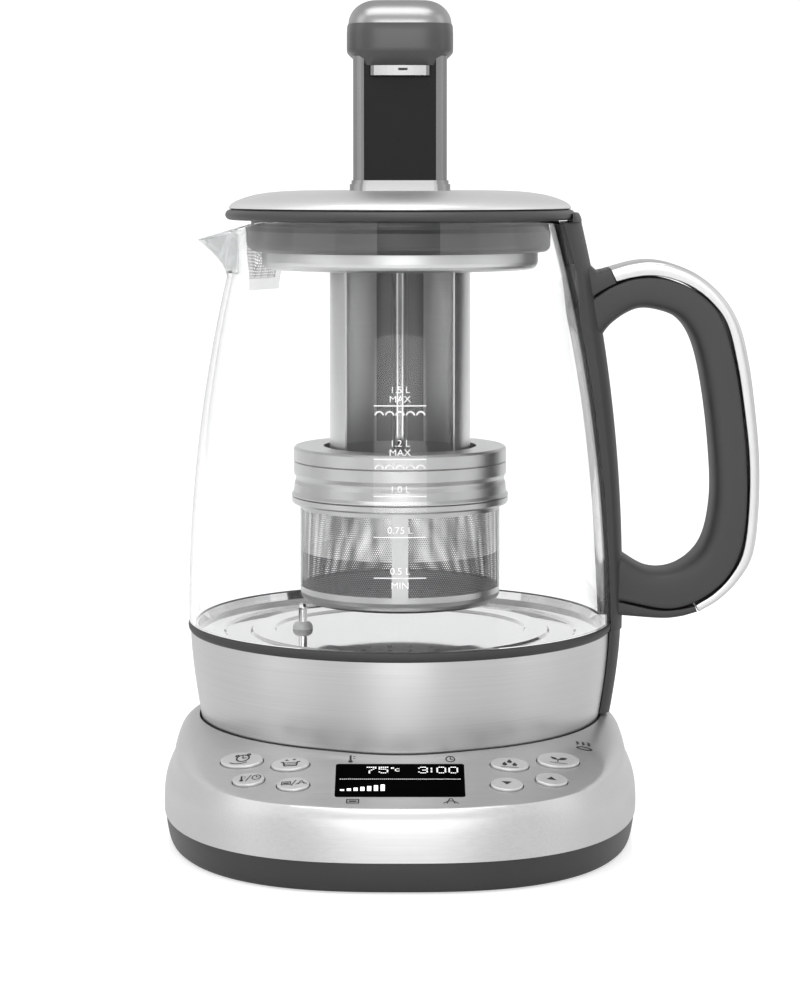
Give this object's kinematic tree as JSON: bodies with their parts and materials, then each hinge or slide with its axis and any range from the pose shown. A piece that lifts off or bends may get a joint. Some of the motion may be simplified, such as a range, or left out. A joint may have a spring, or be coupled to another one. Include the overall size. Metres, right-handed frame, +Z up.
{
  "type": "automatic tea maker",
  "caption": "Glass jug with a steel lower cup and loop handle on a powered base with a control panel; its lid has a small tower whose drive lowers a perforated tea basket into the water.",
  "frame": {"origin": "on the jug's axis at the level of the counter the feet stand on", "axes": "+Z up, -Y to the control panel, +X to the handle, -X to the spout"},
  "size_m": [0.2205, 0.202, 0.305],
  "materials": {
    "brushed_casing": "brushed, satin",
    "dark_plastic": "fine matte",
    "lower_shell": "fine matte",
    "rubber": "matte",
    "screws": "machined",
    "black_plastic": "satin",
    "window": "glossy",
    "display": "matte",
    "board": "matte",
    "button": "satin",
    "glass": "clear",
    "brushed_cup": "brushed round the axis",
    "plate": "satin",
    "cast_heater": "cast",
    "silicone": "matte",
    "seal": "matte",
    "polished": "polished",
    "sheet_steel": "brushed, satin",
    "mesh": "fine perforated",
    "tower_side": "satin",
    "tower_face": "satin",
    "motor": "plain",
    "gear": "moulded",
    "basket_steel": "satin"
  },
  "bodies": {
    "base": {"base_shell": "brushed_casing", "base_skirt": "dark_plastic", "bottom_plate": "dark_plastic", "foot_ring": "rubber", "base_screws": "screws", "connector_post": "black_plastic", "display_window": "window", "display_module": "display", "control_board": "board", "power_board": "board", "cord_inlet": "black_plastic"},
    "alarm_key": {"alarm_button": "button"},
    "basket_key": {"basket_button": "button"},
    "temperature_key": {"temperature_button": "button"},
    "tea_key": {"tea_button": "button"},
    "boil_key": {"boil_button": "button"},
    "heat_key": {"heat_button": "button"},
    "down_key": {"down_button": "button"},
    "up_key": {"up_button": "button"},
    "coupler": {"coupler_collar": "dark_plastic"},
    "jug": {"glass_body": "glass", "jug_cup": "brushed_cup", "seam_gasket": "rubber", "heating_plate": "plate", "heating_element": "cast_heater", "jug_connector": "black_plastic", "cup_floor": "dark_plastic", "temperature_probe": "plate", "probe_grommet": "silicone", "handle_spine": "dark_plastic", "handle_grip": "dark_plastic", "handle_trim": "polished", "handle_foot": "lower_shell", "rim_clip": "black_plastic", "jug_screws": "screws", "filter_frame": "sheet_steel", "filter_screen": "mesh"},
    "lid": {"lid_cover": "polished", "lid_rim": "dark_plastic", "lid_seal": "seal", "lid_pan": "sheet_steel", "guide_sleeve": "sheet_steel", "lift_chassis": "black_plastic", "tower_body": "tower_side", "tower_front": "tower_face", "tower_foot": "polished", "head_shell": "dark_plastic", "head_cap": "polished", "lift_motor": "motor", "lid_screws": "screws"},
    "release": {"release_tab": "polished"},
    "gear": {"drive_gear": "gear"},
    "lift": {"lift_rod": "polished", "lift_rack": "gear", "carrier": "sheet_steel", "basket_cover": "basket_steel"},
    "basket": {"basket_cup": "basket_steel", "basket_screen": "mesh"}
  },
  "joints": [
    {"name": "alarm_press", "type": "slide", "parent": "base", "child": "alarm_key", "axis": [0.1265, 0.2652, -0.9559], "range_m": [0, 0.0008], "stiffness_N_per_m": 400},
    {"name": "basket_press", "type": "slide", "parent": "base", "child": "basket_key", "axis": [0.0612, 0.2681, -0.9614], "range_m": [0, 0.0008], "stiffness_N_per_m": 400},
    {"name": "temperature_press", "type": "slide", "parent": "base", "child": "temperature_key", "axis": [0.1156, 0.2692, -0.9561], "range_m": [0, 0.0008], "stiffness_N_per_m": 400},
    {"name": "tea_press", "type": "slide", "parent": "base", "child": "tea_key", "axis": [0.0559, 0.2707, -0.961], "range_m": [0, 0.0008], "stiffness_N_per_m": 400},
    {"name": "boil_press", "type": "slide", "parent": "base", "child": "boil_key", "axis": [-0.0612, 0.2681, -0.9614], "range_m": [0, 0.0008], "stiffness_N_per_m": 400},
    {"name": "heat_press", "type": "slide", "parent": "base", "child": "heat_key", "axis": [-0.1265, 0.2652, -0.9559], "range_m": [0, 0.0008], "stiffness_N_per_m": 400},
    {"name": "down_press", "type": "slide", "parent": "base", "child": "down_key", "axis": [-0.0559, 0.2707, -0.961], "range_m": [0, 0.0008], "stiffness_N_per_m": 400},
    {"name": "up_press", "type": "slide", "parent": "base", "child": "up_key", "axis": [-0.1156, 0.2692, -0.9561], "range_m": [0, 0.0008], "stiffness_N_per_m": 400},
    {"name": "jug_turn", "type": "hinge", "parent": "base", "child": "coupler", "pos_m": [0, 0, 0.0275], "axis": [0, 0, 1], "continuous": true},
    {"name": "jug_lift", "type": "slide", "parent": "coupler", "child": "jug", "axis": [0, 0, 1], "range_m": [0, 0.04]},
    {"name": "lid_lift", "type": "slide", "parent": "jug", "child": "lid", "axis": [0, 0, 1], "range_m": [0, 0.165]},
    {"name": "tab_press", "type": "slide", "parent": "lid", "child": "release", "axis": [0, 1, 0], "range_m": [0, 0.002], "stiffness_N_per_m": 300},
    {"name": "basket_lift", "type": "slide", "parent": "lid", "child": "lift", "axis": [0, 0, 1], "range_m": [0, 0.054]},
    {"name": "gear_turn", "type": "hinge", "parent": "lid", "child": "gear", "pos_m": [0, 0.0131, 0.2246], "axis": [-1, 0, 0], "range_deg": [0, 445]},
    {"name": "basket_turn", "type": "hinge", "parent": "lift", "child": "basket", "pos_m": [0, 0, 0.12], "axis": [0, 0, 1], "range_deg": [0, 30]}
  ],
  "couplings": [
    {"joint": "gear_turn", "follows": "basket_lift", "rad_per_m": 142.86}
  ]
}
